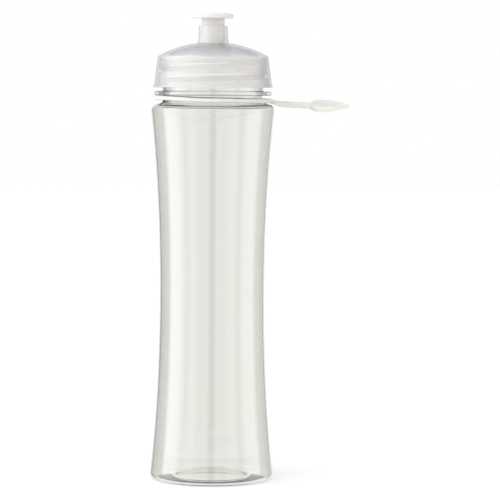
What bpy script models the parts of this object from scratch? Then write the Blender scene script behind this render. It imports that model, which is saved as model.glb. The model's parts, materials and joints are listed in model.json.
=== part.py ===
"""Sports squeeze bottle: a clear waisted bottle with a screw lid, a push-pull valve and a carry strap.

Lengths are in millimetres and become metres when a mesh is made. Every piece is turned about the
bottle's own axis, the vertical line x = BOTTLE_X, y = 0. The origin lies on the standing plane, at the
centre of the outline seen from above with the strap.
"""

from math import asin, cos, degrees, pi, radians, sin, sqrt

import bmesh
import bpy

MM = 0.001
GAP = 0.3                  # clearance between touching pieces
SEGMENTS = 48              # flats round a large turned piece
SMALL_SEGMENTS = 32        # flats round the valve

# Bottle body
BODY_R = 36.35             # at the shoulder and at the base
WAIST_R = 30.9
WAIST_Z = 110.0
FLARE_POWER = 2.1
BASE_CORNER_R = 3.4
SHOULDER_CORNER_Z = 217.4
SHOULDER_CORNER_R = 3.2
SHOULDER_SLOPE = 17.0      # degrees, rising to the neck
WALL = 1.4
BASE_WALL = 1.6
FOOT_INNER_R = 22.5        # inner edge of the flat standing ring
PUSH_UP_RISE = 4.4

# Neck and threaded finish
NECK_R = 29.3
NECK_FOOT_Z = 222.4        # where the straight neck starts
NECK_FOOT_BEVEL_R = 0.5    # bevel between shoulder and neck
NECK_FOOT_BEVEL_Z = 0.65
FINISH_R = 29.9
FINISH_TOP = 246.6
BEAD_R = 34.5
BEAD_BOTTOM = 226.0
BEAD_TOP = 228.3
BORE_R = 27.8
BORE_FOOT_Z = 222.2        # where the straight bore starts
BORE_FLARE_R = 0.6         # flare under it
BORE_FLARE_Z = 1.3
NECK_EDGE = 0.4            # bevel on the edges of bead and rim

# Thread: one start, right-handed
LEAD = 6.35
THREAD_CREST_R = 31.05
THREAD_START_Z = 236.1     # centre of the ridge where it starts
THREAD_START_ANGLE = 200.0
THREAD_TURNS = 1.3
THREAD_ROOT_HALF = 1.2     # half heights of the ridge's trapezium
THREAD_CREST_HALF = 0.5
THREAD_FADE_TURN = 1 / 12  # share of a turn over which an end of the ridge fades
THREAD_END_RISE = 0.15     # share of its height left at the very end
LID_THREAD_CREST_R = 30.3
LID_THREAD_TURNS = 1.2
LID_THREAD_DROP = 1.75     # the lid's ridge lies this far under the bottle's
LID_THREAD_WALL_R = 31.8   # the widest wall the lid's ridge stands on
FINISH_ROOT_DEPTH = 0.5    # how deep each ridge is rooted in its wall
LID_ROOT_DEPTH = 1.2

# Lid
LID_TOP_SPHERE_R = 67.0
LID_TOP_SPHERE_Z = 190.1   # centre of the domed top's sphere
LID_TOP_EDGE_R = 31.0      # where the dome meets its rounded corner
LID_CORNER = ((31.85, 248.95), (32.35, 248.4))
LID_WALL = 1.5
LID_BOTTOM = 230.5
LIP_R = 35.0
LIP_TOP_Z = 231.6
LIP_EDGE = 0.5
SKIRT_TOP_R = 32.6
SKIRT_TOP_Z = 247.5
SKIRT_MIDDLE_R = 33.4      # the skirt is slightly hollow between top and bottom
SKIRT_MIDDLE_Z = 240.7
SKIRT_LOW_R = 34.4
SKIRT_LOW_Z = 232.6
SKIRT_BORE_R = 31.3
MOUTH_R = 33.0             # the bore widens in two steps towards the lid's mouth
MOUTH_STEPS = ((32.3, 235.0), (31.7, 240.0))
GROOVE_CEILING = 248.3
PLUG_R = 27.3
PLUG_BOTTOM = 243.6
PLUG_WALL = 1.4
PLUG_TIP_R = 0.5           # bevel on the plug's outer edge
PLUG_TIP_Z = 0.6

# Spout collar, valve chamber and sealing pin
COLLAR_TOP = 266.6
COLLAR_TOP_R = 8.4
COLLAR_LOW_R = 8.65
COLLAR_LOW_Z = 258.5
COLLAR_FOOT_R = 8.95       # a small step out at the foot
COLLAR_FOOT_Z = 258.0
COLLAR_ROOT_R = 9.1
COLLAR_ROOT_Z = 257.1
COLLAR_REACH = 1.0         # width of the slope from the foot to the dome
COLLAR_BORE_R = 6.95
COLLAR_EDGE = 0.3
CHAMBER_R = 9.0
CHAMBER_WALL = 1.3
CHAMBER_CEILING = 255.6
CHAMBER_BOTTOM = 245.2
HUB_R = 3.2
HUB_TOP = 247.4
PIN_R = 2.2
PIN_FOOT_Z = 248.6
PIN_TOP = 266.9
PIN_TIP_R = 1.5
PIN_TIP_LENGTH = 0.9
SPOKES = 3
SPOKE_WIDTH = 1.8
SPOKE_SET_BACK = 0.2       # from the hub's end faces
SPOKE_ROOT_DEPTH = 1.0     # inside the hub

# Gasket
GASKET_THICK = 1.1

# Valve, drawn open
VALVE_TRAVEL = 4.0
VALVE_TOP = 274.2
FLANGE_R = 11.8
FLANGE_BOTTOM = COLLAR_TOP + VALVE_TRAVEL + GAP
FLANGE_CROWN = ((7.5, 274.1), (10.9, 273.85), (11.8, 273.1))
STEM_R = COLLAR_BORE_R - GAP
STEM_FILLET_R = 0.5        # bevel under the flange
STEM_FILLET_Z = 0.6
VALVE_BORE_R = 5.0
VALVE_BORE_TOP = 268.7
OUTLET_R = 2.5
OUTLET_FOOT_Z = 269.3      # the bore's end is a shallow cone
RETAINER_R = CHAMBER_R - GAP
RETAINER_TOP = CHAMBER_CEILING - GAP
RETAINER_RIM = 1.0
VALVE_BOTTOM = 252.5
VALVE_TIP_R = STEM_R + 0.4
VALVE_TIP_EDGE_R = 0.4
VALVE_EDGE = 0.5

# Carry strap
STRAP_REACH = 79.9         # from the bottle's axis to the loop's tip
RING_INNER_R = 31.0
RING_OUTER_R = 34.6
RING_THICK = 2.5
RING_Z = 223.2
RING_RISE = 1.2            # the side away from the arm lies higher, against the bead
RING_SINK = 0.3            # the arm's side lies lower, towards the shoulder
ARM_START_X = 32.6
ARM_END_X = 58.5
ARM_WIDTH = 8.0
ARM_FLARE = 4.5            # extra width at the ring
ARM_FLARE_END_X = 42.0
ARM_ROOT_THICK = 2.3
ARM_ROOT_END_X = 34.6
ARM_THICK = 2.7
DROP = 1.9                 # the arm bends down over the shoulder
DROP_START_X = 31.0
DROP_END_X = 41.0
SAG = 0.9                  # and sags a little further out
SAG_START_X = 38.0
SAG_END_X = 60.0
TWIST = 9.5                # degrees about the arm, near side down
TWIST_START_X = 33.0
TWIST_END_X = 43.0
LOOP_THICK = 2.9
LOOP_THIN = 1.2            # thickness lost towards the tip
LOOP_THIN_START_X = 66.0
LOOP_LENGTH = 23.5
LOOP_HALF_WIDTH = 13.0
LOOP_POINT = 0.42          # 0 is an ellipse, larger is more pointed at the tip
LOOP_RIM = 6.4
LOOP_RIM_ENDS = 1.3        # widths of rim across both ends of the loop together
LOOP_HOLE_SHIFT = 0.1      # the hole lies this many rims nearer to the arm

BOTTLE_X = -(STRAP_REACH - BODY_R) / 2


def clear_scene():
    for obj in list(bpy.data.objects):
        bpy.data.objects.remove(obj, do_unlink=True)


def make_material(name, colour, roughness, alpha=1.0):
    material = bpy.data.materials.new(name)
    material.use_nodes = True
    shader = material.node_tree.nodes["Principled BSDF"]
    shader.inputs["Base Color"].default_value = (*colour, 1.0)
    shader.inputs["Roughness"].default_value = roughness
    shader.inputs["Metallic"].default_value = 0.0
    shader.inputs["Alpha"].default_value = alpha
    return material


def arc(centre_r, centre_z, radius, start, end, steps):
    """Points on an arc in the (radius, height) plane from angle start to end, in degrees, ends included."""
    angles = [radians(start + (end - start) * i / steps) for i in range(steps + 1)]
    return [(centre_r + radius * cos(a), centre_z + radius * sin(a)) for a in angles]


def smooth_step(value, start, end):
    t = min(1.0, max(0.0, (value - start) / (end - start)))
    return t * t * (3 - 2 * t)


def turned(outline, segments):
    """A solid of revolution about Z. An outline that starts on the axis ends there too, and stays open."""
    mesh = bmesh.new()
    verts = [mesh.verts.new((r * MM, 0.0, z * MM)) for r, z in outline]
    edges = [mesh.edges.new(pair) for pair in zip(verts, verts[1:])]
    if outline[0][0] > 0:
        edges.append(mesh.edges.new((verts[-1], verts[0])))
    bmesh.ops.spin(mesh, geom=verts + edges, cent=(0, 0, 0), axis=(0, 0, 1), angle=2 * pi,
                   steps=segments, use_merge=True)
    bmesh.ops.remove_doubles(mesh, verts=mesh.verts, dist=1e-7)
    bmesh.ops.recalc_face_normals(mesh, faces=mesh.faces)
    return mesh


def swept(sections, closed):
    """A solid through a row of cross-sections with the same number of points, in millimetres."""
    mesh = bmesh.new()
    rings = [[mesh.verts.new([c * MM for c in point]) for point in section] for section in sections]
    pairs = list(zip(rings, rings[1:]))
    if closed:
        pairs.append((rings[-1], rings[0]))
    for ring, following in pairs:
        for i in range(len(ring)):
            j = (i + 1) % len(ring)
            mesh.faces.new((ring[i], ring[j], following[j], following[i]))
    if not closed:
        mesh.faces.new(rings[0][::-1])
        mesh.faces.new(rings[-1])
    bmesh.ops.recalc_face_normals(mesh, faces=mesh.faces)
    return mesh


def add_object(name, mesh, material=None):
    """Put a bmesh on the bottle's axis as an object with smooth round faces and sharp edges."""
    data = bpy.data.meshes.new(name)
    mesh.to_mesh(data)
    mesh.free()
    data.shade_smooth()
    data.set_sharp_from_angle(angle=radians(30))
    obj = bpy.data.objects.new(name, data)
    obj.location.x = BOTTLE_X * MM
    bpy.context.scene.collection.objects.link(obj)
    if material:
        data.materials.append(material)
    return obj


def join(obj, name, mesh):
    """Unite another shape with the object by a Boolean."""
    tool = add_object(name, mesh)
    tool.hide_render = True
    tool.display_type = "WIRE"
    union = obj.modifiers.new(name, "BOOLEAN")
    union.operation = "UNION"
    union.solver = "EXACT"
    union.object = tool


def thread_ridge(start_z, turns, root_r, wall_r, crest_r):
    """A helical ridge, rooted at root_r, that stands from wall_r to crest_r and fades at both ends."""
    steps = round(turns * SEGMENTS)
    fade = SEGMENTS * THREAD_FADE_TURN
    sections = []
    for i in range(steps + 1):
        angle = radians(THREAD_START_ANGLE) + 2 * pi * i / SEGMENTS
        rise = THREAD_END_RISE + (1 - THREAD_END_RISE) * min(1.0, i / fade, (steps - i) / fade)
        crest = wall_r + (crest_r - wall_r) * rise
        centre = start_z + LEAD * i / SEGMENTS
        corners = (
            (root_r, -THREAD_ROOT_HALF),
            (crest, -THREAD_CREST_HALF),
            (crest, THREAD_CREST_HALF),
            (root_r, THREAD_ROOT_HALF),
        )
        sections.append([(r * cos(angle), r * sin(angle), centre + dz) for r, dz in corners])
    return swept(sections, closed=False)


def body_radius(z):
    """The outer radius of the waisted wall at height z."""
    if z < WAIST_Z:
        reach = WAIST_Z - BASE_CORNER_R
    else:
        reach = SHOULDER_CORNER_Z - WAIST_Z
    return WAIST_R + (BODY_R - WAIST_R) * (abs(z - WAIST_Z) / reach) ** FLARE_POWER


def wall_points(steps, inset):
    """The waisted wall from the base corner up to the shoulder corner, moved inwards by inset."""
    span = SHOULDER_CORNER_Z - BASE_CORNER_R
    heights = [BASE_CORNER_R + span * i / steps for i in range(1, steps)]
    return [(body_radius(z) - inset, z) for z in heights]


def push_up_points(foot_r, foot_z, rise, steps):
    """The domed underside of the base from the axis out to its foot."""
    sphere_r = (foot_r ** 2 + rise ** 2) / (2 * rise)
    radii = [foot_r * i / steps for i in range(steps + 1)]
    return [(r, foot_z + rise - sphere_r + sqrt(sphere_r ** 2 - r ** 2)) for r in radii]


def bottle_outline():
    corner_r = BODY_R - BASE_CORNER_R
    shoulder_r = BODY_R - SHOULDER_CORNER_R
    shoulder_end = 90 - SHOULDER_SLOPE
    outside = push_up_points(FOOT_INNER_R, 0.0, PUSH_UP_RISE, 4)
    outside += arc(corner_r, BASE_CORNER_R, BASE_CORNER_R, -90, 0, 4)
    outside += wall_points(13, 0.0)
    outside += arc(shoulder_r, SHOULDER_CORNER_Z, SHOULDER_CORNER_R, 0, shoulder_end, 4)
    neck = [
        (NECK_R + NECK_FOOT_BEVEL_R, NECK_FOOT_Z - NECK_FOOT_BEVEL_Z),
        (NECK_R, NECK_FOOT_Z),
        (NECK_R, BEAD_BOTTOM),
        (BEAD_R - NECK_EDGE, BEAD_BOTTOM),
        (BEAD_R, BEAD_BOTTOM + NECK_EDGE),
        (BEAD_R, BEAD_TOP - NECK_EDGE),
        (BEAD_R - NECK_EDGE, BEAD_TOP),
        (FINISH_R, BEAD_TOP),
        (FINISH_R, FINISH_TOP - NECK_EDGE),
        (FINISH_R - NECK_EDGE, FINISH_TOP),
        (BORE_R + NECK_EDGE, FINISH_TOP),
        (BORE_R, FINISH_TOP - NECK_EDGE),
        (BORE_R, BORE_FOOT_Z),
        (BORE_R + BORE_FLARE_R, BORE_FOOT_Z - BORE_FLARE_Z),
    ]
    inside = arc(shoulder_r, SHOULDER_CORNER_Z, SHOULDER_CORNER_R - WALL, shoulder_end, 0, 3)
    inside += wall_points(10, WALL)[::-1]
    inside += arc(corner_r, BASE_CORNER_R, BASE_CORNER_R - WALL, 0, -90, 3)
    inside += push_up_points(FOOT_INNER_R, BASE_WALL, PUSH_UP_RISE, 4)[::-1]
    return outside + neck + inside


def make_bottle():
    clear = make_material("clear_copolyester", (0.86, 0.87, 0.82), 0.05, alpha=0.35)
    bottle = add_object("bottle", turned(bottle_outline(), SEGMENTS), clear)
    root_r = FINISH_R - FINISH_ROOT_DEPTH
    ridge = thread_ridge(THREAD_START_Z, THREAD_TURNS, root_r, FINISH_R, THREAD_CREST_R)
    join(bottle, "finish_thread", ridge)


def sphere_points(sphere_r, start_r, end_r, steps):
    """Points on the lid's domed top, or on a sphere inside it, between two radii."""
    start = degrees(asin(start_r / sphere_r))
    end = degrees(asin(end_r / sphere_r))
    return arc(0.0, LID_TOP_SPHERE_Z, sphere_r, 90 - start, 90 - end, steps)


def lid_outline():
    inner_sphere = LID_TOP_SPHERE_R - LID_WALL
    chamber_outer = CHAMBER_R + CHAMBER_WALL
    plug_inner = PLUG_R - PLUG_WALL
    collar = [
        (COLLAR_TOP_R - COLLAR_EDGE, COLLAR_TOP),
        (COLLAR_TOP_R, COLLAR_TOP - COLLAR_EDGE),
        (COLLAR_LOW_R, COLLAR_LOW_Z),
        (COLLAR_FOOT_R, COLLAR_FOOT_Z),
        (COLLAR_ROOT_R, COLLAR_ROOT_Z),
    ]
    top = sphere_points(LID_TOP_SPHERE_R, COLLAR_FOOT_R + COLLAR_REACH, LID_TOP_EDGE_R, 6)
    skirt = [
        *LID_CORNER,
        (SKIRT_TOP_R, SKIRT_TOP_Z),
        (SKIRT_MIDDLE_R, SKIRT_MIDDLE_Z),
        (SKIRT_LOW_R, SKIRT_LOW_Z),
        (LIP_R, LIP_TOP_Z),
        (LIP_R, LID_BOTTOM + LIP_EDGE),
        (LIP_R - LIP_EDGE, LID_BOTTOM),
        (MOUTH_R, LID_BOTTOM),
        *MOUTH_STEPS,
        (SKIRT_BORE_R, GROOVE_CEILING),
        (PLUG_R, GROOVE_CEILING),
        (PLUG_R, PLUG_BOTTOM + PLUG_TIP_Z),
        (PLUG_R - PLUG_TIP_R, PLUG_BOTTOM),
        (plug_inner, PLUG_BOTTOM),
    ]
    underside = sphere_points(inner_sphere, plug_inner, chamber_outer, 4)
    chamber = [
        (chamber_outer, CHAMBER_BOTTOM),
        (CHAMBER_R, CHAMBER_BOTTOM),
        (CHAMBER_R, CHAMBER_CEILING),
        (COLLAR_BORE_R, CHAMBER_CEILING),
        (COLLAR_BORE_R, COLLAR_TOP - COLLAR_EDGE),
        (COLLAR_BORE_R + COLLAR_EDGE, COLLAR_TOP),
    ]
    return collar + top + skirt + underside + chamber


def pin_outline():
    return [
        (0.0, CHAMBER_BOTTOM),
        (HUB_R, CHAMBER_BOTTOM),
        (HUB_R, HUB_TOP),
        (PIN_R, PIN_FOOT_Z),
        (PIN_R, PIN_TOP - PIN_TIP_LENGTH),
        (PIN_TIP_R, PIN_TOP),
        (0.0, PIN_TOP),
    ]


def spoke(turn):
    """A flat bar from the hub to the chamber's wall, set back slightly from their end faces."""
    mesh = bmesh.new()
    bmesh.ops.create_cube(mesh, size=1.0)
    start = HUB_R - SPOKE_ROOT_DEPTH
    end = CHAMBER_R + CHAMBER_WALL / 2
    height = HUB_TOP - CHAMBER_BOTTOM - 2 * SPOKE_SET_BACK
    for vert in mesh.verts:
        x = (start + end) / 2 + vert.co.x * (end - start)
        y = vert.co.y * SPOKE_WIDTH
        z = (CHAMBER_BOTTOM + HUB_TOP) / 2 + vert.co.z * height
        vert.co = ((x * cos(turn) - y * sin(turn)) * MM, (x * sin(turn) + y * cos(turn)) * MM, z * MM)
    return mesh


def make_lid():
    frosted = make_material("frosted_polypropylene", (0.80, 0.80, 0.80), 0.45, alpha=0.85)
    lid = add_object("lid", turned(lid_outline(), SEGMENTS), frosted)
    join(lid, "sealing_pin", turned(pin_outline(), SMALL_SEGMENTS // 2))
    for i in range(SPOKES):
        join(lid, f"spoke_{i + 1}", spoke(2 * pi * i / SPOKES))
    start_z = THREAD_START_Z - LID_THREAD_DROP
    root_r = LID_THREAD_WALL_R + LID_ROOT_DEPTH
    ridge = thread_ridge(start_z, LID_THREAD_TURNS, root_r, LID_THREAD_WALL_R, LID_THREAD_CREST_R)
    join(lid, "lid_thread", ridge)


def make_gasket():
    rubber = make_material("soft_seal", (0.82, 0.82, 0.80), 0.6)
    bottom = FINISH_TOP + GAP
    inner, outer = PLUG_R + GAP, SKIRT_BORE_R - GAP
    outline = [
        (inner, bottom),
        (outer, bottom),
        (outer, bottom + GASKET_THICK),
        (inner, bottom + GASKET_THICK),
    ]
    add_object("lid_gasket", turned(outline, SEGMENTS), rubber)


def valve_outline():
    return [
        (OUTLET_R, OUTLET_FOOT_Z),
        (OUTLET_R, VALVE_TOP - VALVE_EDGE),
        (OUTLET_R + VALVE_EDGE, VALVE_TOP),
        *FLANGE_CROWN,
        (FLANGE_R, FLANGE_BOTTOM + VALVE_EDGE),
        (FLANGE_R - VALVE_EDGE, FLANGE_BOTTOM),
        (STEM_R + STEM_FILLET_R, FLANGE_BOTTOM),
        (STEM_R, FLANGE_BOTTOM - STEM_FILLET_Z),
        (STEM_R, RETAINER_TOP),
        (RETAINER_R, RETAINER_TOP),
        (RETAINER_R, RETAINER_TOP - RETAINER_RIM),
        (VALVE_TIP_R, VALVE_BOTTOM),
        (VALVE_BORE_R + VALVE_TIP_EDGE_R, VALVE_BOTTOM),
        (VALVE_BORE_R, VALVE_BOTTOM + VALVE_EDGE),
        (VALVE_BORE_R, VALVE_BORE_TOP),
    ]


def make_valve():
    soft_white = make_material("valve_polyethylene", (0.84, 0.82, 0.79), 0.4)
    add_object("push_pull_valve", turned(valve_outline(), SMALL_SEGMENTS), soft_white)


def ring_height(x):
    """Height of the ring's middle: bent up at the far side from the arm and slightly down at the arm."""
    rise = RING_RISE * smooth_step(-x, 0, RING_OUTER_R)
    sink = RING_SINK * smooth_step(x, 0, RING_OUTER_R)
    return RING_Z + rise - sink


def strap_point(x, y, lift):
    """A point of the strap: lift is its height over the middle surface, which bends and twists."""
    bend = DROP * smooth_step(x, DROP_START_X, DROP_END_X) + SAG * smooth_step(x, SAG_START_X, SAG_END_X)
    middle = ring_height(x) - bend
    twist = radians(TWIST) * smooth_step(x, TWIST_START_X, TWIST_END_X)
    return (x, y * cos(twist) - lift * sin(twist), middle + y * sin(twist) + lift * cos(twist))


def rounded_slab(inner, outer, thick):
    """Eight (distance, lift) points round a flat bar between two distances, with its long edges rounded."""
    soft = thick / 3
    half = thick / 2
    flat = half - soft
    return [
        (outer, -flat),
        (outer, flat),
        (outer - soft, half),
        (inner + soft, half),
        (inner, flat),
        (inner, -flat),
        (inner + soft, -half),
        (outer - soft, -half),
    ]


def strap_ring():
    sections = []
    for i in range(SEGMENTS):
        angle = 2 * pi * i / SEGMENTS
        slab = rounded_slab(RING_INNER_R, RING_OUTER_R, RING_THICK)
        middle = ring_height(RING_OUTER_R * cos(angle))
        sections.append([(r * cos(angle), r * sin(angle), middle + lift) for r, lift in slab])
    return swept(sections, closed=True)


def strap_arm():
    sections = []
    steps = 10
    for i in range(steps + 1):
        x = ARM_START_X + (ARM_END_X - ARM_START_X) * i / steps
        half = (ARM_WIDTH + ARM_FLARE * (1 - smooth_step(x, ARM_START_X, ARM_FLARE_END_X))) / 2
        share = smooth_step(x, ARM_ROOT_END_X, ARM_FLARE_END_X)
        thick = ARM_ROOT_THICK + (ARM_THICK - ARM_ROOT_THICK) * share
        sections.append([strap_point(x, y, lift) for y, lift in rounded_slab(-half, half, thick)])
    return swept(sections, closed=False)


def strap_loop():
    """A finger loop whose outline is blunt at the arm and pointed at the tip."""
    sections = []
    steps = 36
    centre = STRAP_REACH - LOOP_LENGTH / 2
    inner_length = LOOP_LENGTH - LOOP_RIM_ENDS * LOOP_RIM
    inner_centre = centre - LOOP_HOLE_SHIFT * LOOP_RIM
    inner_half = LOOP_HALF_WIDTH - LOOP_RIM
    for i in range(steps):
        angle = 2 * pi * i / steps
        pinch = 1 - LOOP_POINT * cos(angle)
        outer = (centre + LOOP_LENGTH / 2 * cos(angle), LOOP_HALF_WIDTH * sin(angle) * pinch)
        inner = (inner_centre + inner_length / 2 * cos(angle), inner_half * sin(angle) * pinch)
        width = sqrt((outer[0] - inner[0]) ** 2 + (outer[1] - inner[1]) ** 2)
        thick = LOOP_THICK - LOOP_THIN * smooth_step(outer[0], LOOP_THIN_START_X, STRAP_REACH)
        section = []
        for distance, lift in rounded_slab(0.0, width, thick):
            share = distance / width
            x = inner[0] + (outer[0] - inner[0]) * share
            y = inner[1] + (outer[1] - inner[1]) * share
            section.append(strap_point(x, y, lift))
        sections.append(section)
    return swept(sections, closed=True)


def make_strap():
    flexible = make_material("strap_polyethylene", (0.83, 0.82, 0.77), 0.45)
    strap = add_object("carry_strap", strap_ring(), flexible)
    join(strap, "strap_arm", strap_arm())
    join(strap, "strap_loop", strap_loop())


clear_scene()
make_bottle()
make_lid()
make_gasket()
make_valve()
make_strap()
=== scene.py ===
"""Looks of the sports squeeze bottle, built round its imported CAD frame.

Outlines are (radius, height) points in millimetres, turned about the bottle's axis. The axis and the
heights of the pieces come from the frame; wall thicknesses and corner radii are named below.
"""
import json
from math import acos, asin, ceil, cos, degrees, pi, radians, sin, sqrt, tan

import bmesh
import bpy
from mathutils import Matrix, Vector


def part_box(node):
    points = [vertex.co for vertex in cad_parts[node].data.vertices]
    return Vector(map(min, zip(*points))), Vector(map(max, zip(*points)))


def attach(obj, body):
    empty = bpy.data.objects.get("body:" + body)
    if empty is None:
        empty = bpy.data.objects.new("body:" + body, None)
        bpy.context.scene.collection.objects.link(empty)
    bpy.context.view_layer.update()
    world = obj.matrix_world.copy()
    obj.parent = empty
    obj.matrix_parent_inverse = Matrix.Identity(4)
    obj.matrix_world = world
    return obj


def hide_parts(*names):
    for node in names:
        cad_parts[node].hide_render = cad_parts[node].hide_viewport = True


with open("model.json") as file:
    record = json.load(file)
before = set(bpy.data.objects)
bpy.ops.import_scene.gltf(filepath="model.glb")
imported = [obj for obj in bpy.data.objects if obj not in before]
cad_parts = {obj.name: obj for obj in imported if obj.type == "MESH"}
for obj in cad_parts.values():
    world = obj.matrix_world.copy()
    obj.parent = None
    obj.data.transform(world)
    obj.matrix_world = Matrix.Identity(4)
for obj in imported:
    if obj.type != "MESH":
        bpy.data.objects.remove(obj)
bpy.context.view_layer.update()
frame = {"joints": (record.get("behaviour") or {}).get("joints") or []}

MM = 0.001

JOINTS = {joint["name"]: joint for joint in frame["joints"]}
AXIS_X = JOINTS["strap_swivel"]["pos_m"][0]
LEAD = 6.35                # thread advance in a turn
GAP = 0.3                  # clearance between touching pieces


def heights(node):
    """Lowest and highest height of a CAD node, in millimetres."""
    low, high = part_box(node)
    return low.z / MM, high.z / MM


def reach(node):
    """How far a CAD node reaches from the bottle's axis along Y, in millimetres."""
    low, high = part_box(node)
    return max(high.y, -low.y) / MM


# ---------------------------------------------------------------- outlines

HOLD = 0.06                # a point this far past a fillet keeps the flat next to it flat
FILLET_STEP = 12.0         # degrees between points on a fillet
FILLET_SHARE = 0.48        # the most of a neighbouring edge that a fillet may take


def arc(centre_r, centre_z, radius, start, end, steps):
    """Points on an arc in the (radius, height) plane from angle start to end, in degrees, ends included."""
    angles = [radians(start + (end - start) * i / steps) for i in range(steps + 1)]
    return [(centre_r + radius * cos(a), centre_z + radius * sin(a)) for a in angles]


def spaced(low, high, step):
    """Heights from low to high, both included, about step apart."""
    count = max(1, round((high - low) / step))
    return [low + (high - low) * i / count for i in range(count + 1)]


def fillet(before, corner, after, radius):
    """The points that round one corner of an outline, with a holding point at each end."""
    here, ahead, behind = Vector(corner), Vector(after), Vector(before)
    back, on = (behind - here), (ahead - here)
    room = min(back.length, on.length)
    back.normalize()
    on.normalize()
    half = acos(max(-1.0, min(1.0, back.dot(on)))) / 2
    trim = min(radius / tan(half), room * FILLET_SHARE)
    radius = trim * tan(half)
    centre = here + (back + on).normalized() * (radius / sin(half))
    start, end = here + back * trim - centre, here + on * trim - centre
    turn = pi - 2 * half
    steps = max(2, ceil(degrees(turn) / FILLET_STEP))
    points = [here + back * (trim + HOLD)]
    for i in range(steps + 1):
        share = i / steps
        point = (start * sin((1 - share) * turn) + end * sin(share * turn)) / sin(turn)
        points.append(centre + point)
    points.append(here + on * (trim + HOLD))
    return [tuple(point) for point in points]


def rounded(corners, closed):
    """An outline from (radius, height) or (radius, height, fillet radius) corners."""
    outline = []
    count = len(corners)
    for i, corner in enumerate(corners):
        if len(corner) == 2 or (not closed and i in (0, count - 1)):
            outline.append(corner[:2])
        else:
            outline += fillet(corners[i - 1][:2], corner[:2], corners[(i + 1) % count][:2], corner[2])
    return outline


# ---------------------------------------------------------------- meshes

ON_AXIS = 1e-6             # a point nearer to the axis than this lies on it


def finish_mesh(name, mesh, material, origin=(AXIS_X, 0.0, 0.0)):
    """Turn a bmesh in millimetres about the bottle's axis into a smooth object."""
    bmesh.ops.recalc_face_normals(mesh, faces=mesh.faces)
    bmesh.ops.scale(mesh, vec=(MM, MM, MM), verts=mesh.verts)
    bmesh.ops.translate(mesh, vec=origin, verts=mesh.verts)
    data = bpy.data.meshes.new(name)
    mesh.to_mesh(data)
    mesh.free()
    data.shade_smooth()
    if material:
        data.materials.append(material)
    obj = bpy.data.objects.new(name, data)
    bpy.context.scene.collection.objects.link(obj)
    return obj


def applied(obj):
    """Give the object the mesh that its modifiers make, and drop them."""
    bpy.context.view_layer.update()
    evaluated = obj.evaluated_get(bpy.context.evaluated_depsgraph_get())
    data = bpy.data.meshes.new_from_object(evaluated)
    obj.modifiers.clear()
    obj.data = data


def revolve(outline, segments, relief=None):
    """A bmesh of revolution. relief(angle, r, z) moves a point of the outline outwards at that angle."""
    mesh = bmesh.new()
    rows = []
    for r, z in outline:
        if r < ON_AXIS:
            rows.append([mesh.verts.new((0.0, 0.0, z))] * segments)
            continue
        row = []
        for i in range(segments):
            angle = 2 * pi * i / segments
            out = r + (relief(angle, r, z) if relief else 0.0)
            row.append(mesh.verts.new((out * cos(angle), out * sin(angle), z)))
        rows.append(row)
    pairs = list(zip(rows, rows[1:]))
    if outline[0][0] > ON_AXIS:
        pairs.append((rows[-1], rows[0]))
    for row, following in pairs:
        for i in range(segments):
            j = (i + 1) % segments
            corners = [row[i], row[j], following[j], following[i]]
            mesh.faces.new(list(dict.fromkeys(corners)))
    return mesh


def swept(sections, closed):
    """A bmesh through a row of cross-sections with the same number of points."""
    mesh = bmesh.new()
    rings = [[mesh.verts.new(point) for point in section] for section in sections]
    pairs = list(zip(rings, rings[1:]))
    if closed:
        pairs.append((rings[-1], rings[0]))
    for ring, following in pairs:
        for i in range(len(ring)):
            j = (i + 1) % len(ring)
            mesh.faces.new((ring[i], ring[j], following[j], following[i]))
    if not closed:
        mesh.faces.new(rings[0][::-1])
        mesh.faces.new(rings[-1])
    return mesh


def smooth_step(value, start, end):
    """0 before start, 1 after end, and a smooth rise between them."""
    t = min(1.0, max(0.0, (value - start) / (end - start)))
    return t * t * (3 - 2 * t)


# ---------------------------------------------------------------- materials

NOISE_LOW = 0.3            # the range that a noise texture mostly stays in
NOISE_HIGH = 0.7

CLEAR_TINTS = (0.875, 0.88, 0.845), (0.885, 0.885, 0.86)
CLEAR_TINT_SCALE = 25.0    # features per metre
CLEAR_IOR = 1.55
CLEAR_ROUGHNESS = (0.004, 0.014)
CLEAR_ROUGHNESS_SCALE = 90.0
RIPPLE_SCALE = 40.0
RIPPLE_STRETCH = (1.0, 1.0, 0.3)
RIPPLE_STRENGTH = 0.05
RIPPLE_DEPTH = 0.0002      # metres

MILKY_TINTS = (0.95, 0.96, 0.98), (0.98, 0.95, 0.92)
MILKY_TINT_SCALE = 22.0
# painted shade: the lid's colour is blended to this dark grey where its surface is seen edge-on, over the
# span of facing on the next line
MILKY_PAINTED_EDGE_SHADE = (0.20, 0.25, 0.31)
MILKY_PAINTED_EDGE_SHADE_SPAN = (0.38, 1.0)
MILKY_HAZE = 0.42          # share of what lies behind that one surface of the haze hides
MILKY_IOR = 1.49
MILKY_ROUGHNESS = (0.26, 0.34)
MILKY_ROUGHNESS_SCALE = 300.0
MILKY_GRAIN_SCALE = 1500.0
MILKY_GRAIN_STRENGTH = 0.02
MILKY_GRAIN_DEPTH = 0.00003

VALVE_TINTS = (0.76, 0.745, 0.73), (0.79, 0.775, 0.76)
STRAP_TINTS = (0.77, 0.765, 0.725), (0.80, 0.795, 0.76)
SEAL_TINTS = (0.76, 0.76, 0.74), (0.80, 0.80, 0.78)
SOFT_TINT_SCALE = 60.0
SOFT_IOR = 1.5
SOFT_SPECULAR = 0.25
SOFT_GLOW_RADIUS = (1.0, 0.9, 0.8)
SOFT_GLOW_DEPTH = 0.003
SOFT_ROUGHNESS_SPREAD = 0.05
SOFT_ROUGHNESS_SCALE = 400.0
SOFT_GRAIN_SCALE = 2500.0
SOFT_GRAIN_STRENGTH = 0.1
SOFT_GRAIN_DEPTH = 0.00004


def new_material(name):
    """A material, its node tree and its shader."""
    material = bpy.data.materials.new(name)
    material.use_nodes = True
    return material, material.node_tree, material.node_tree.nodes["Principled BSDF"]


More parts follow.
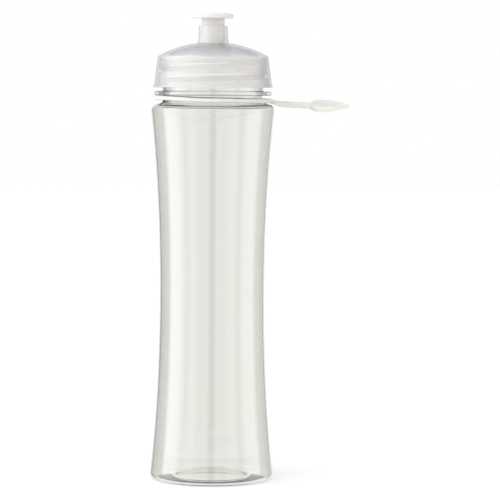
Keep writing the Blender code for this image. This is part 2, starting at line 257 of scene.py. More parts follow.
def noise(tree, scale, detail=3.0, stretch=(1.0, 1.0, 1.0)):
    """A noise texture in object space, in features per metre."""
    coords = tree.nodes.new("ShaderNodeTexCoord")
    mapping = tree.nodes.new("ShaderNodeMapping")
    mapping.inputs["Scale"].default_value = stretch
    texture = tree.nodes.new("ShaderNodeTexNoise")
    texture.inputs["Scale"].default_value = scale
    texture.inputs["Detail"].default_value = detail
    tree.links.new(coords.outputs["Object"], mapping.inputs["Vector"])
    tree.links.new(mapping.outputs["Vector"], texture.inputs["Vector"])
    return texture.outputs["Fac"]


def map_range(tree, source, low, high, from_low=NOISE_LOW, from_high=NOISE_HIGH):
    """The source's span from_low to from_high, stretched to low to high."""
    node = tree.nodes.new("ShaderNodeMapRange")
    node.inputs["From Min"].default_value = from_low
    node.inputs["From Max"].default_value = from_high
    node.inputs["To Min"].default_value = low
    node.inputs["To Max"].default_value = high
    tree.links.new(source, node.inputs["Value"])
    return node.outputs["Result"]


def blend_colours(tree, factor, first, second):
    """Linear blend from first to second, each a colour or a socket."""
    node = tree.nodes.new("ShaderNodeMix")
    node.data_type = "RGBA"
    tree.links.new(factor, node.inputs["Factor"])
    for name, value in (("A", first), ("B", second)):
        if isinstance(value, tuple):
            node.inputs[name].default_value = (*value, 1.0)
        else:
            tree.links.new(value, node.inputs[name])
    return node.outputs["Result"]


def mottled(tree, scale, tints):
    """A slow variation between two tints."""
    return blend_colours(tree, map_range(tree, noise(tree, scale), 0.0, 1.0), *tints)


def math_node(tree, operation, first, second):
    node = tree.nodes.new("ShaderNodeMath")
    node.operation = operation
    for socket, value in zip(node.inputs, (first, second)):
        if isinstance(value, float):
            socket.default_value = value
        else:
            tree.links.new(value, socket)
    return node.outputs[0]


def mix_values(tree, factor, first, second):
    """Linear blend from the value first to the value or number second."""
    node = tree.nodes.new("ShaderNodeMix")
    node.data_type = "FLOAT"
    tree.links.new(factor, node.inputs[0])
    tree.links.new(first, node.inputs[2])
    if isinstance(second, float):
        node.inputs[3].default_value = second
    else:
        tree.links.new(second, node.inputs[3])
    return node.outputs[0]


def add_bump(tree, shader, height, strength, distance):
    """Bump from a height texture; distance is in metres."""
    node = tree.nodes.new("ShaderNodeBump")
    node.inputs["Strength"].default_value = strength
    node.inputs["Distance"].default_value = distance
    tree.links.new(height, node.inputs["Height"])
    tree.links.new(node.outputs["Normal"], shader.inputs["Normal"])


def clear_plastic():
    """Clear copolyester: a faint green tint, slow ripples from blowing and fine handling marks."""
    material, tree, shader = new_material("clear_plastic")
    shader.inputs["Transmission Weight"].default_value = 1.0
    shader.inputs["IOR"].default_value = CLEAR_IOR
    tree.links.new(mottled(tree, CLEAR_TINT_SCALE, CLEAR_TINTS), shader.inputs["Base Color"])
    rough = map_range(tree, noise(tree, CLEAR_ROUGHNESS_SCALE, detail=4.0), *CLEAR_ROUGHNESS)
    tree.links.new(rough, shader.inputs["Roughness"])
    ripples = noise(tree, RIPPLE_SCALE, detail=1.0, stretch=RIPPLE_STRETCH)
    add_bump(tree, shader, ripples, RIPPLE_STRENGTH, RIPPLE_DEPTH)
    return material


def frosted_plastic():
    """Milky polypropylene: a thin haze that shows what is behind it, with painted shade that greys its
    colour where it is seen edge-on.
    """
    material, tree, shader = new_material("frosted_plastic")
    shader.inputs["Alpha"].default_value = MILKY_HAZE
    shader.inputs["IOR"].default_value = MILKY_IOR
    milky = mottled(tree, MILKY_TINT_SCALE, MILKY_TINTS)
    # painted shade: Layer Weight's facing greys the base colour where the lid is seen edge-on
    weight = tree.nodes.new("ShaderNodeLayerWeight")
    weight.inputs["Blend"].default_value = 0.5
    edge = map_range(tree, weight.outputs["Facing"], 0.0, 1.0, *MILKY_PAINTED_EDGE_SHADE_SPAN)
    tree.links.new(blend_colours(tree, edge, milky, MILKY_PAINTED_EDGE_SHADE), shader.inputs["Base Color"])
    rough = map_range(tree, noise(tree, MILKY_ROUGHNESS_SCALE, detail=5.0), *MILKY_ROUGHNESS)
    tree.links.new(rough, shader.inputs["Roughness"])
    grain = noise(tree, MILKY_GRAIN_SCALE, detail=2.0)
    add_bump(tree, shader, grain, MILKY_GRAIN_STRENGTH, MILKY_GRAIN_DEPTH)
    return material


def soft_plastic(name, tints, roughness, glow):
    """Polyethylene or rubber with a fine moulded texture; glow is how much light scatters inside it."""
    material, tree, shader = new_material(name)
    shader.inputs["Subsurface Weight"].default_value = glow
    shader.inputs["Subsurface Radius"].default_value = SOFT_GLOW_RADIUS
    shader.inputs["Subsurface Scale"].default_value = SOFT_GLOW_DEPTH
    shader.inputs["IOR"].default_value = SOFT_IOR
    shader.inputs["Specular IOR Level"].default_value = SOFT_SPECULAR
    tree.links.new(mottled(tree, SOFT_TINT_SCALE, tints), shader.inputs["Base Color"])
    rough = map_range(tree, noise(tree, SOFT_ROUGHNESS_SCALE, detail=4.0),
                      roughness - SOFT_ROUGHNESS_SPREAD, roughness + SOFT_ROUGHNESS_SPREAD)
    tree.links.new(rough, shader.inputs["Roughness"])
    grain = noise(tree, SOFT_GRAIN_SCALE, detail=2.0)
    add_bump(tree, shader, grain, SOFT_GRAIN_STRENGTH, SOFT_GRAIN_DEPTH)
    return material


# ---------------------------------------------------------------- bottle

BODY_R = reach("bottle")
FINISH_TOP = heights("bottle")[1]
WAIST_R = 30.9
WAIST_Z = 110.0
FLARE_POWER = 2.1
BASE_CORNER_R = 3.4
SHOULDER_CORNER_Z = 217.4
SHOULDER_CORNER_R = 3.2
SHOULDER_SLOPE = 17.0      # degrees
CORNER_LEAN = 6.0          # the rounded corners run this many degrees past the upright
CORNER_CLEAR = 1.0         # height left between a corner's centre and the wall's first point
WALL = 1.1                 # thinner than the CAD's, so that it refracts as the real wall does
WALL_STEPS = 60
BASE_WALL = 1.6
FOOT_INNER_R = 22.5
FOOT_ROUND = 5.0
FOOT_FLAT = 3.0            # width of flat foot beside that rounding
PUSH_UP_MARGIN = 2.5       # the dome stops this far inside the foot
PUSH_UP_RISE = 4.4
PUSH_UP_STEPS = 16
NECK_R = 29.3
NECK_FOOT_Z = 221.9
NECK_FOOT_ROUND = 1.8
FINISH_R = 29.9
RIM_ROUND = 0.45
BORE_R = 27.8
BORE_FOOT_Z = 221.2
BORE_FOOT_ROUND = 3.0
BORE_FLARE = (0.3, 219.2)  # where the bore opens: past the shoulder corner's centre, and its height
BEAD_R = 34.5
BEAD_BOTTOM = 226.0
BEAD_TOP = 228.3
BEAD_ROUND = 0.4
BEAD_UNDER_ROUND = 0.25    # where the bead meets the neck below it
BEAD_OVER_ROUND = 0.3      # and above it
THREADED_LOW = BEAD_TOP + 2.0
THREADED_HIGH = FINISH_TOP - 0.9
THREADED_MARGIN = 0.1
ON_WALL = 0.01             # a point within this of a threaded wall's radius lies on it
THREAD_CREST_R = 31.05
THREAD_ROOT_HALF = 1.25    # half heights of the ridge
THREAD_CREST_HALF = 0.45
THREAD_FADE = 0.09         # share of a turn over which an end of the ridge fades
THREAD_START_Z = 236.1
THREAD_START_ANGLE = radians(200.0)
THREAD_TURNS = 1.3
THREAD_ROW_STEP = 0.2      # height between points of a threaded wall
BOTTLE_SEGMENTS = 160


def thread_rise(angle, z, start_z, turns):
    """How far up its flank a thread ridge stands at this place, from 0 at the wall to 1 at the crest."""
    first = ((angle - THREAD_START_ANGLE) / (2 * pi)) % 1.0
    best = 0.0
    for turn in range(ceil(turns) + 1):
        along = first + turn
        if along > turns:
            break
        away = abs(z - start_z - LEAD * along)
        side = 1 - smooth_step(away, THREAD_CREST_HALF, THREAD_ROOT_HALF)
        end = smooth_step(min(along, turns - along), 0.0, THREAD_FADE)
        best = max(best, side * end)
    return best


def body_radius(z):
    """The outer radius of the waisted wall at height z."""
    if z < WAIST_Z:
        span = WAIST_Z - BASE_CORNER_R
    else:
        span = SHOULDER_CORNER_Z - WAIST_Z
    return WAIST_R + (BODY_R - WAIST_R) * (abs(z - WAIST_Z) / span) ** FLARE_POWER


def wall_points(inset):
    """The waisted wall from just over the base corner to just under the shoulder corner."""
    low, high = BASE_CORNER_R + CORNER_CLEAR, SHOULDER_CORNER_Z - CORNER_CLEAR
    rows = [low + (high - low) * i / WALL_STEPS for i in range(WALL_STEPS + 1)]
    return [(body_radius(z) - inset, z) for z in rows]


def push_up_points(foot_z):
    """The domed base from the axis out to just inside its foot."""
    sphere_r = (FOOT_INNER_R ** 2 + PUSH_UP_RISE ** 2) / (2 * PUSH_UP_RISE)
    radii = [(FOOT_INNER_R - PUSH_UP_MARGIN) * i / PUSH_UP_STEPS for i in range(PUSH_UP_STEPS + 1)]
    return [(r, foot_z + PUSH_UP_RISE - sphere_r + sqrt(sphere_r ** 2 - r ** 2)) for r in radii]


def bottle_outline():
    """Up the outside from under the base to the rim, and down the inside."""
    corner_r = BODY_R - BASE_CORNER_R
    shoulder_r = BODY_R - SHOULDER_CORNER_R
    slope_end = 90 - SHOULDER_SLOPE
    outside = push_up_points(0.0)
    outside += fillet(outside[-1], (FOOT_INNER_R, 0.0), (FOOT_INNER_R + FOOT_FLAT, 0.0), FOOT_ROUND)
    outside += arc(corner_r, BASE_CORNER_R, BASE_CORNER_R, -90, CORNER_LEAN, 12)
    outside += wall_points(0.0)
    outside += arc(shoulder_r, SHOULDER_CORNER_Z, SHOULDER_CORNER_R, -CORNER_LEAN, slope_end, 12)
    neck = rounded([
        outside[-1],
        (NECK_R, NECK_FOOT_Z, NECK_FOOT_ROUND),
        (NECK_R, BEAD_BOTTOM, BEAD_UNDER_ROUND),
        (BEAD_R, BEAD_BOTTOM, BEAD_ROUND),
        (BEAD_R, BEAD_TOP, BEAD_ROUND),
        (FINISH_R, BEAD_TOP, BEAD_OVER_ROUND),
        (FINISH_R, THREADED_LOW),
    ], closed=False)[1:]
    rows = spaced(THREADED_LOW + 2 * THREADED_MARGIN, THREADED_HIGH - THREADED_MARGIN, THREAD_ROW_STEP)
    threaded = [(FINISH_R, z) for z in rows]
    mouth = rounded([
        (FINISH_R, THREADED_HIGH + THREADED_MARGIN),
        (FINISH_R, FINISH_TOP, RIM_ROUND),
        (BORE_R, FINISH_TOP, RIM_ROUND),
        (BORE_R, BORE_FOOT_Z, BORE_FOOT_ROUND),
        (shoulder_r + BORE_FLARE[0], BORE_FLARE[1]),
    ], closed=False)[:-1]
    inside = arc(shoulder_r, SHOULDER_CORNER_Z, SHOULDER_CORNER_R - WALL, slope_end, -CORNER_LEAN, 8)
    inside += wall_points(WALL)[::-1]
    inside += arc(corner_r, BASE_CORNER_R, BASE_CORNER_R - WALL, CORNER_LEAN, -90, 8)
    inside += push_up_points(BASE_WALL)[::-1]
    return outside + neck + threaded + mouth + inside


def finish_relief(angle, r, z):
    """The bottle's thread, which stands out of the straight outer wall of its neck."""
    if abs(r - FINISH_R) > ON_WALL or not THREADED_LOW < z < THREADED_HIGH:
        return 0.0
    return (THREAD_CREST_R - FINISH_R) * thread_rise(angle, z, THREAD_START_Z, THREAD_TURNS)


def make_bottle():
    mesh = revolve(bottle_outline(), BOTTLE_SEGMENTS, finish_relief)
    bottle = finish_mesh("bottle_body", mesh, clear_plastic())
    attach(bottle, "bottle")
    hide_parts("bottle")


# ---------------------------------------------------------------- lid

LID_BOTTOM, PIN_TOP = heights("lid")
PIN_STANDS_OUT = 0.3       # the sealing pin's tip over the collar
COLLAR_TOP = PIN_TOP - PIN_STANDS_OUT
LIP_R = reach("lid")
LIP_HEIGHT = 1.1
LID_TOP_SPHERE_R = 67.0
LID_TOP_SPHERE_Z = 190.1
LID_TOP_EDGE_R = 30.6      # where the dome ends and its rounded corner starts
LID_CORNER = (32.4, 248.75)
LID_CORNER_ROUND = 1.3
LID_WALL = 1.5
SKIRT_MIDDLE_R = 33.45     # the skirt is slightly hollow between top and bottom
SKIRT_MIDDLE_Z = 240.7
SKIRT_MIDDLE_ROUND = 30.0
SKIRT_LOW_R = 34.4
SKIRT_LOW_Z = 232.6
SKIRT_LOW_ROUND = 0.8
MOUTH_R = 33.0
SKIRT_BORE_R = 31.3
SKIRT_BORE_WIDENS = 0.4    # from the groove down to the middle of the skirt
SKIRT_BORE_MIDDLE_Z = 240.0
GROOVE_CEILING = 248.3
PLUG_R = 27.3
PLUG_BOTTOM = 243.6
PLUG_WALL = 1.4
PLUG_TIP_ROUND = 0.6
PLUG_ROOT_Z = 249.0
COLLAR_TOP_R = 8.4
COLLAR_LOW_R = 8.65
COLLAR_LOW_Z = 258.5
COLLAR_FOOT_R = 8.95
COLLAR_FOOT_Z = 257.9
COLLAR_BORE_R = 6.95
COLLAR_REACH = 1.0         # width of the slope from the collar's foot to the dome
COLLAR_ROOT = 0.1          # the collar's root, out from its foot and over the dome
COLLAR_ROOT_ROUND = 0.6
CHAMBER_R = 9.0
CHAMBER_WALL = 1.3
CHAMBER_CEILING = 255.6
CHAMBER_BOTTOM = 245.2
CHAMBER_ROOT_Z = 254.0
HUB_R = 3.2
HUB_TOP = 247.4
HUB_LIFT = 0.1             # the hub's underside over the chamber's
PIN_R = 2.2
PIN_FOOT = 1.2             # height of the slope from the hub to the pin
PIN_TIP_ROUND = 0.9
SPOKES = 3
SPOKE_WIDTH = 1.8
SPOKE_SET_BACK = 0.2       # from the hub's end faces
SPOKE_ROUND = 0.4
SPOKE_ROOT = 1.0           # depth inside the hub
INNER_ROUND = 0.25         # edges inside the lid
EDGE_ROUND = 0.4           # edges outside it
JOIN = 0.3                 # gap between a curved run and the rounded run next to it
LID_THREAD_CREST_R = 30.3
LID_THREAD_TURNS = 1.2
LID_THREAD_DROP = 1.75     # the lid's ridge lies this far under the bottle's
ON_SKIRT_BORE = 0.001
LID_SEGMENTS = 160
PIN_SEGMENTS = 48


def sphere_points(sphere_r, start_r, end_r, steps):
    """Points on the lid's domed top, or on a sphere inside it, between two radii."""
    start, end = degrees(asin(start_r / sphere_r)), degrees(asin(end_r / sphere_r))
    return arc(0.0, LID_TOP_SPHERE_Z, sphere_r, 90 - start, 90 - end, steps)


def skirt_bore(z):
    """The radius of the skirt's inner wall, which widens towards the bottom."""
    middle = SKIRT_BORE_R + SKIRT_BORE_WIDENS * smooth_step(z, GROOVE_CEILING, SKIRT_BORE_MIDDLE_Z)
    rest = MOUTH_R - SKIRT_BORE_R - SKIRT_BORE_WIDENS
    return middle + rest * smooth_step(z, SKIRT_BORE_MIDDLE_Z, LID_BOTTOM)


def lid_outline():
    """Over the outside from the collar's bore to the lip, then up and over the inside."""
    chamber_outer = CHAMBER_R + CHAMBER_WALL
    plug_inner = PLUG_R - PLUG_WALL
    top = sphere_points(LID_TOP_SPHERE_R, COLLAR_FOOT_R + COLLAR_REACH, LID_TOP_EDGE_R, 20)
    collar = rounded([
        (COLLAR_BORE_R, COLLAR_TOP - 3.0),
        (COLLAR_BORE_R, COLLAR_TOP, 0.35),
        (COLLAR_TOP_R, COLLAR_TOP, 0.45),
        (COLLAR_LOW_R, COLLAR_LOW_Z, 0.3),
        (COLLAR_FOOT_R, COLLAR_FOOT_Z, 0.3),
        (COLLAR_FOOT_R + COLLAR_ROOT, top[0][1] + COLLAR_ROOT, COLLAR_ROOT_ROUND),
        top[0],
    ], closed=False)[:-1]
    skirt = rounded([
        top[-1],
        (*LID_CORNER, LID_CORNER_ROUND),
        (SKIRT_MIDDLE_R, SKIRT_MIDDLE_Z, SKIRT_MIDDLE_ROUND),
        (SKIRT_LOW_R, SKIRT_LOW_Z, SKIRT_LOW_ROUND),
        (LIP_R, LID_BOTTOM + LIP_HEIGHT, EDGE_ROUND),
        (LIP_R, LID_BOTTOM, 0.35),
        (MOUTH_R, LID_BOTTOM, 0.3),
        (skirt_bore(LID_BOTTOM + 0.8), LID_BOTTOM + 0.8),
    ], closed=False)[1:-1]
    rows = spaced(LID_BOTTOM + 0.9, GROOVE_CEILING - 1.0, THREAD_ROW_STEP)
    threaded = [(skirt_bore(z), z) for z in rows]
    groove = rounded([
        (SKIRT_BORE_R, GROOVE_CEILING - 0.9),
        (SKIRT_BORE_R, GROOVE_CEILING, INNER_ROUND),
        (PLUG_R, GROOVE_CEILING, INNER_ROUND),
        (PLUG_R, PLUG_BOTTOM, PLUG_TIP_ROUND),
        (plug_inner, PLUG_BOTTOM, 0.3),
        (plug_inner, PLUG_ROOT_Z),
    ], closed=False)
    underside = sphere_points(LID_TOP_SPHERE_R - LID_WALL, plug_inner - JOIN, chamber_outer + JOIN, 14)
    chamber = rounded([
        (chamber_outer, CHAMBER_ROOT_Z),
        (chamber_outer, CHAMBER_BOTTOM, EDGE_ROUND),
        (CHAMBER_R, CHAMBER_BOTTOM, EDGE_ROUND),
        (CHAMBER_R, CHAMBER_CEILING, INNER_ROUND),
        (COLLAR_BORE_R, CHAMBER_CEILING, 0.15),
        (COLLAR_BORE_R, CHAMBER_CEILING + 2.0),
    ], closed=False)
    return collar + top + skirt + threaded + groove + underside + chamber


def lid_relief(angle, r, z):
    """The lid's thread, which stands in from the skirt's inner wall."""
    if abs(r - skirt_bore(z)) > ON_SKIRT_BORE or z > GROOVE_CEILING - 0.95:
        return 0.0
    rise = thread_rise(angle, z, THREAD_START_Z - LID_THREAD_DROP, LID_THREAD_TURNS)
    return (LID_THREAD_CREST_R - r) * rise


def pin_mesh():
    """The sealing pin on its hub."""
    outline = rounded([
        (0.0, CHAMBER_BOTTOM + HUB_LIFT),
        (HUB_R, CHAMBER_BOTTOM + HUB_LIFT, EDGE_ROUND),
        (HUB_R, HUB_TOP, 0.6),
        (PIN_R, HUB_TOP + PIN_FOOT, 0.8),
        (PIN_R, PIN_TOP, PIN_TIP_ROUND),
        (0.0, PIN_TOP),
    ], closed=False)
    return revolve(outline, PIN_SEGMENTS)


def spoke_mesh(turn):
    """A round-edged bar from the hub to the chamber's wall."""
    half_width = SPOKE_WIDTH / 2
    half_height = (HUB_TOP - CHAMBER_BOTTOM) / 2 - SPOKE_SET_BACK
    middle = (HUB_TOP + CHAMBER_BOTTOM) / 2
    section = rounded([
        (-half_width, -half_height, SPOKE_ROUND),
        (half_width, -half_height, SPOKE_ROUND),
        (half_width, half_height, SPOKE_ROUND),
        (-half_width, half_height, SPOKE_ROUND),
    ], closed=True)
    sections = []
    for x in (HUB_R - SPOKE_ROOT, CHAMBER_R + CHAMBER_WALL / 2):
        sections.append([(x * cos(turn) - y * sin(turn), x * sin(turn) + y * cos(turn), middle + z)
                         for y, z in section])
    return swept(sections, closed=False)


def unite(obj, mesh):
    """Unite another shape with the object and apply the result."""
    tool = finish_mesh("tool", mesh, None)
    union = obj.modifiers.new("union", "BOOLEAN")
    union.operation = "UNION"
    union.solver = "EXACT"
    union.object = tool
    applied(obj)
    bpy.data.objects.remove(tool, do_unlink=True)


def make_lid():
    mesh = revolve(lid_outline(), LID_SEGMENTS, lid_relief)
    lid = finish_mesh("screw_lid", mesh, frosted_plastic())
    unite(lid, pin_mesh())
    for i in range(SPOKES):
        unite(lid, spoke_mesh(2 * pi * i / SPOKES))
    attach(lid, "lid")
    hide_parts("lid")


GASKET_ROUND = 0.3
SMALL_SEGMENTS = 128       # round the gasket and the valve


def make_gasket():
    bottom, top = heights("lid_gasket")
    inner, outer = PLUG_R + GAP, reach("lid_gasket")
    outline = rounded([
        (inner, bottom, GASKET_ROUND),
        (outer, bottom, GASKET_ROUND),
        (outer, top, GASKET_ROUND),
        (inner, top, GASKET_ROUND),
    ], closed=True)
    rubber = soft_plastic("seal_rubber", SEAL_TINTS, 0.6, 0.2)
    gasket = finish_mesh("seal_ring", revolve(outline, SMALL_SEGMENTS), rubber)
    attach(gasket, "gasket")
    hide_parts("lid_gasket")


# ---------------------------------------------------------------- valve

STEM_R = COLLAR_BORE_R - GAP
VALVE_BORE_R = 5.0
VALVE_BORE_TOP = 268.7
VALVE_EDGE_ROUND = 0.4
OUTLET_R = 2.5
OUTLET_DISH = 0.15         # how far the flange's top sinks at the outlet and towards its edge
RETAINER_R = CHAMBER_R - GAP
RETAINER_TOP = CHAMBER_CEILING - GAP
RETAINER_EDGE = 1.0        # height of the retainer's upright edge
RETAINER_TAPER = 0.4       # what is left of its width at the bottom
FLANGE_THICK = 3.3
FLANGE_ROUND = 0.7
FLANGE_CROWN_R = 4.5       # the flange's top is highest here
FLANGE_SHOULDER_R = 8.5
FLANGE_EDGE = ((0.2, 0.6, 0.9), (0.0, 1.6, 0.8))    # in from its reach, down from its top, rounding


def valve_outline():
    """Round the valve's wall: outlet, flange, stem, retainer and bore."""
    bottom, top = heights("push_pull_valve")
    flange_r = reach("push_pull_valve")
    flange_bottom = top - FLANGE_THICK
    edge = [(flange_r - inwards, top - down, soft) for inwards, down, soft in FLANGE_EDGE]
    return rounded([
        (OUTLET_R, VALVE_BORE_TOP + 0.6, 0.2),
        (OUTLET_R, top - OUTLET_DISH, 0.6),
        (FLANGE_CROWN_R, top, 1.5),
        (FLANGE_SHOULDER_R, top - OUTLET_DISH, 6.0),
        *edge,
        (flange_r, flange_bottom, FLANGE_ROUND),
        (STEM_R, flange_bottom, FLANGE_ROUND),
        (STEM_R, RETAINER_TOP, 0.1),
        (RETAINER_R, RETAINER_TOP, 0.25),
        (RETAINER_R, RETAINER_TOP - RETAINER_EDGE, VALVE_EDGE_ROUND),
        (STEM_R + RETAINER_TAPER, bottom, VALVE_EDGE_ROUND),
        (VALVE_BORE_R, bottom, VALVE_EDGE_ROUND),
        (VALVE_BORE_R, VALVE_BORE_TOP, VALVE_EDGE_ROUND),
    ], closed=True)


def make_valve():
    white = soft_plastic("valve_plastic", VALVE_TINTS, 0.35, 0.7)
    valve = finish_mesh("drinking_valve", revolve(valve_outline(), SMALL_SEGMENTS), white)
    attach(valve, "valve")
    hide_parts("push_pull_valve")


# ---------------------------------------------------------------- carry strap

STRAP_REACH = (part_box("carry_strap")[1].x - AXIS_X) / MM
RING_INNER_R = 31.0
RING_OUTER_R = reach("carry_strap")
RING_THICK = 2.5
RING_Z = 223.2
RING_RISE = 1.2            # the side away from the arm lies higher, against the bead
RING_SINK = 0.3            # the arm's side lies lower, towards the shoulder
ARM_START_X = 32.6
ARM_END_X = 58.5
ARM_WIDTH = 8.0
ARM_FLARE = 4.5            # extra width at the ring
ARM_FLARE_END_X = 42.0
ARM_ROOT_THICK = 2.3
ARM_ROOT_END_X = 34.6
ARM_THICK = 2.7
DROP = 1.9                 # the arm bends down over the shoulder
DROP_START_X = 31.0
DROP_END_X = 41.0
SAG = 0.9                  # and sags a little further out
SAG_START_X = 38.0
SAG_END_X = 60.0
TWIST = radians(9.5)       # about the arm, near side down
TWIST_START_X = 33.0
TWIST_END_X = 43.0
LOOP_THICK = 2.9
LOOP_THIN = 1.2            # thickness lost towards the tip
LOOP_THIN_START_X = 66.0
LOOP_LENGTH = 23.5
LOOP_HALF_WIDTH = 13.0
LOOP_POINT = 0.42          # 0 is an ellipse, larger is more pointed at the tip
LOOP_RIM = 6.4
LOOP_RIM_ENDS = 1.3        # widths of rim across both ends of the loop together
LOOP_HOLE_SHIFT = 0.1      # the hole lies this many rims nearer to the arm
RING_SECTIONS = 180
ARM_STEPS = 48
LOOP_SECTIONS = 120
STRAP_VOXEL = 0.35
STRAP_SMOOTHING = 0.5
STRAP_SMOOTHING_PASSES = 6


def ring_height(x):
    """Height of the ring's middle: bent up at the far side from the arm and slightly down at the arm."""
    rise = RING_RISE * smooth_step(-x, 0, RING_OUTER_R)
    sink = RING_SINK * smooth_step(x, 0, RING_OUTER_R)
    return RING_Z + rise - sink


def strap_point(x, y, lift):
    """A point of the strap: lift is its height over the middle surface, which bends and twists."""
    bend = DROP * smooth_step(x, DROP_START_X, DROP_END_X) + SAG * smooth_step(x, SAG_START_X, SAG_END_X)
    middle = ring_height(x) - bend
    twist = TWIST * smooth_step(x, TWIST_START_X, TWIST_END_X)
    return (x, y * cos(twist) - lift * sin(twist), middle + y * sin(twist) + lift * cos(twist))


def slab(inner, outer, thick):
    """(distance, lift) points round a flat bar with well rounded long edges."""
    half, soft = thick / 2, thick / 3
    return rounded([
        (outer, -half, soft),
        (outer, half, soft),
        (inner, half, soft),
        (inner, -half, soft),
    ], closed=True)


def ring_mesh():
    """The ring round the neck, bent up and down with ring_height."""
    section = slab(RING_INNER_R, RING_OUTER_R, RING_THICK)
    sections = []
    for i in range(RING_SECTIONS):
        angle = 2 * pi * i / RING_SECTIONS
        middle = ring_height(RING_OUTER_R * cos(angle))
        sections.append([(r * cos(angle), r * sin(angle), middle + lift) for r, lift in section])
    return swept(sections, closed=True)


def arm_mesh():
    """The arm from the ring to the loop, flared at the ring."""
    sections = []
    for i in range(ARM_STEPS + 1):
        x = ARM_START_X + (ARM_END_X - ARM_START_X) * i / ARM_STEPS
        half = (ARM_WIDTH + ARM_FLARE * (1 - smooth_step(x, ARM_START_X, ARM_FLARE_END_X))) / 2
        share = smooth_step(x, ARM_ROOT_END_X, ARM_FLARE_END_X)
        thick = ARM_ROOT_THICK + (ARM_THICK - ARM_ROOT_THICK) * share
        sections.append([strap_point(x, y, lift) for y, lift in slab(-half, half, thick)])
    return swept(sections, closed=False)


def loop_mesh():
    """The finger loop, blunt at the arm and pointed at the tip."""
    sections = []
    centre = STRAP_REACH - LOOP_LENGTH / 2
    inner_length = LOOP_LENGTH - LOOP_RIM_ENDS * LOOP_RIM
    inner_centre = centre - LOOP_HOLE_SHIFT * LOOP_RIM
    for i in range(LOOP_SECTIONS):
        angle = 2 * pi * i / LOOP_SECTIONS
        across = sin(angle) * (1 - LOOP_POINT * cos(angle))
        outer = (centre + LOOP_LENGTH / 2 * cos(angle), LOOP_HALF_WIDTH * across)
        inner = (inner_centre + inner_length / 2 * cos(angle), (LOOP_HALF_WIDTH - LOOP_RIM) * across)
        width = sqrt((outer[0] - inner[0]) ** 2 + (outer[1] - inner[1]) ** 2)
        thick = LOOP_THICK - LOOP_THIN * smooth_step(outer[0], LOOP_THIN_START_X, STRAP_REACH)
        section = []
        for distance, lift in slab(0.0, width, thick):
            x = inner[0] + (outer[0] - inner[0]) * distance / width
            y = inner[1] + (outer[1] - inner[1]) * distance / width
            section.append(strap_point(x, y, lift))
        sections.append(section)
    return swept(sections, closed=True)


def make_strap():
    """Ring, arm and loop melted into one moulding by a voxel remesh, then smoothed."""
    whole = bmesh.new()
    for part in (ring_mesh(), arm_mesh(), loop_mesh()):
        data = bpy.data.meshes.new("part")
        part.to_mesh(data)
        part.free()
        whole.from_mesh(data)
        bpy.data.meshes.remove(data)
    cream = soft_plastic("strap_plastic", STRAP_TINTS, 0.4, 0.6)
    strap = finish_mesh("neck_strap", whole, cream)
    remesh = strap.modifiers.new("remesh", "REMESH")
    remesh.mode = "VOXEL"
    remesh.voxel_size = STRAP_VOXEL * MM
    smooth = strap.modifiers.new("smooth", "SMOOTH")
    smooth.factor = STRAP_SMOOTHING
    smooth.iterations = STRAP_SMOOTHING_PASSES
    applied(strap)
    strap.data.shade_smooth()
    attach(strap, "strap")
    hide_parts("carry_strap")


# ---------------------------------------------------------------- stage, light and camera

FLOOR_R = 4000.0
FLOOR_DROP = 0.0002        # metres under the standing plane
FLOOR_TINTS = (0.49, 0.49, 0.49), (0.51, 0.51, 0.51)
FLOOR_TINT_SCALE = 4.0
FLOOR_GLOW = 0.6           # lifts the pale floor to white


def make_floor():
    """A plain white floor, not seen in the pieces or through them."""
    mesh = bmesh.new()
    bmesh.ops.create_circle(mesh, cap_ends=True, radius=FLOOR_R, segments=96)
    material, tree, shader = new_material("floor_white")
    tree.links.new(mottled(tree, FLOOR_TINT_SCALE, FLOOR_TINTS), shader.inputs["Base Color"])
    shader.inputs["Emission Color"].default_value = (1.0, 1.0, 1.0, 1.0)
    shader.inputs["Emission Strength"].default_value = FLOOR_GLOW
    shader.inputs["Roughness"].default_value = 0.9
    shader.inputs["Specular IOR Level"].default_value = 0.0
    floor = finish_mesh("floor", mesh, material, origin=(0.0, 0.0, -FLOOR_DROP))
    floor.visible_glossy = False
    floor.visible_transmission = False


# Brightness of the studio round the bottle: (degrees from the camera's side, left negative; level).
STUDIO_BANDS = [
    (-180, 1.05), (-160, 1.05), (-154, 0.4), (-108, 0.4), (-103, 2.0), (-92, 3.0), (-76, 3.0), (-64, 1.4),
    (-58, 1.0), (-50, 1.3), (-40, 1.3), (-28, 0.78), (-7.5, 0.75), (-6.0, 0.0), (6.0, 0.0), (7.5, 0.75),
    (28, 0.78), (40, 0.95), (50, 0.95), (56, 0.4), (62, 0.4), (72, 1.3), (80, 1.7), (96, 1.7), (106, 1.3),
    (110, 0.5), (154, 0.5), (160, 1.05), (180, 1.05),
]
STUDIO_PEAK = 3.2          # over every level, as a colour ramp holds values up to 1
OVERHEAD_ZONE = (0.36, 0.6)      # heights of the view direction between which the ceiling takes over
BELOW_ZONE = (-0.5, -0.28)       # and the white below
OVERHEAD_LEVELS = (1.05, 0.55)   # left and right
OVERHEAD_HALF = 0.8
THROUGH_LEVEL = 1.2        # brightest the studio looks through clear plastic
LAMP_STRENGTH = 0.9
LAMP_SPREAD = radians(70.0)
LAMP_FROM = Vector((-0.75, -0.8, 1.0))


def make_lamp():
    """A very wide soft lamp from the front left, seen only by the pieces' scattering surfaces."""
    light = bpy.data.lights.new("soft_lamp", "SUN")
    light.energy = LAMP_STRENGTH
    light.angle = LAMP_SPREAD
    lamp = bpy.data.objects.new("soft_lamp", light)
    lamp.rotation_euler = LAMP_FROM.to_track_quat("Z", "Y").to_euler()
    lamp.visible_glossy = False
    lamp.visible_transmission = False
    bpy.context.scene.collection.objects.link(lamp)


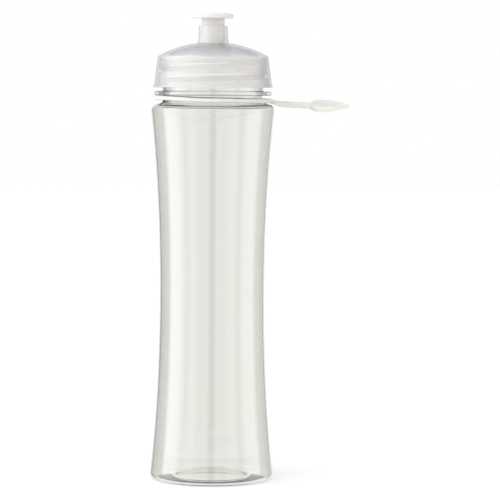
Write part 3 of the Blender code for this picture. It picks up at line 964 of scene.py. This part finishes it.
def make_world():
    """Soft boxes at both sides and a dimmer front with a dark slot; plain white to the camera."""
    world = bpy.data.worlds.new("studio")
    world.use_nodes = True
    bpy.context.scene.world = world
    tree = world.node_tree
    background = tree.nodes["Background"]
    coords = tree.nodes.new("ShaderNodeTexCoord")
    split = tree.nodes.new("ShaderNodeSeparateXYZ")
    tree.links.new(coords.outputs["Generated"], split.inputs["Vector"])
    toward = math_node(tree, "MULTIPLY", split.outputs["Y"], -1.0)
    azimuth = math_node(tree, "ARCTAN2", split.outputs["X"], toward)
    turn = math_node(tree, "MULTIPLY_ADD", azimuth, 1 / (2 * pi))
    turn.node.inputs[2].default_value = 0.5
    ramp = tree.nodes.new("ShaderNodeValToRGB")
    tree.links.new(turn, ramp.inputs["Fac"])
    stops = ramp.color_ramp.elements
    while len(stops) < len(STUDIO_BANDS):
        stops.new(0.5)
    for stop, (angle, level) in zip(stops, STUDIO_BANDS):
        stop.position = angle / 360 + 0.5
        stop.color = (level / STUDIO_PEAK,) * 3 + (1.0,)
    bands = math_node(tree, "MULTIPLY", ramp.outputs["Color"], STUDIO_PEAK)
    above = map_range(tree, split.outputs["Z"], 0.0, 1.0, *OVERHEAD_ZONE)
    below = map_range(tree, split.outputs["Z"], 1.0, 0.0, *BELOW_ZONE)
    overhead = map_range(tree, split.outputs["X"], *OVERHEAD_LEVELS, -OVERHEAD_HALF, OVERHEAD_HALF)
    level = mix_values(tree, above, bands, overhead)
    level = mix_values(tree, below, level, 1.0)
    path = tree.nodes.new("ShaderNodeLightPath")
    through = math_node(tree, "MINIMUM", level, THROUGH_LEVEL)
    level = mix_values(tree, path.outputs["Is Transmission Ray"], level, through)
    level = mix_values(tree, path.outputs["Is Camera Ray"], level, 1.0)
    tree.links.new(level, background.inputs["Color"])
    background.inputs["Strength"].default_value = 1.0


CAMERA_SIDE = 0.022225     # the camera stands this far to the right of the bottle's axis
CAMERA_DISTANCE = 1.504
CAMERA_HEIGHT = 0.237
AIM_HEIGHT = 0.13512
ROLL = radians(0.32)
LENS = 184.3               # millimetres, on a sensor 36 mm wide
FAR_CLIP = 50.0


def make_camera():
    data = bpy.data.cameras.new("camera")
    data.lens = LENS
    data.sensor_width = 36.0
    data.clip_end = FAR_CLIP
    camera = bpy.data.objects.new("camera", data)
    bpy.context.scene.collection.objects.link(camera)
    location = Vector((AXIS_X + CAMERA_SIDE, -CAMERA_DISTANCE, CAMERA_HEIGHT))
    aim = Vector((AXIS_X + CAMERA_SIDE, 0.0, AIM_HEIGHT))
    turn = (aim - location).to_track_quat("-Z", "Y").to_matrix().to_4x4()
    camera.matrix_world = Matrix.Translation(location) @ turn @ Matrix.Rotation(ROLL, 4, "Z")
    bpy.context.scene.camera = camera


def set_view():
    """Plain colours: white stays white."""
    view = bpy.context.scene.view_settings
    view.view_transform = "Standard"
    view.look = "None"
    view.exposure = 0.0
    view.gamma = 1.0


make_bottle()
make_lid()
make_gasket()
make_valve()
make_strap()
make_floor()
make_world()
make_lamp()
make_camera()
set_view()
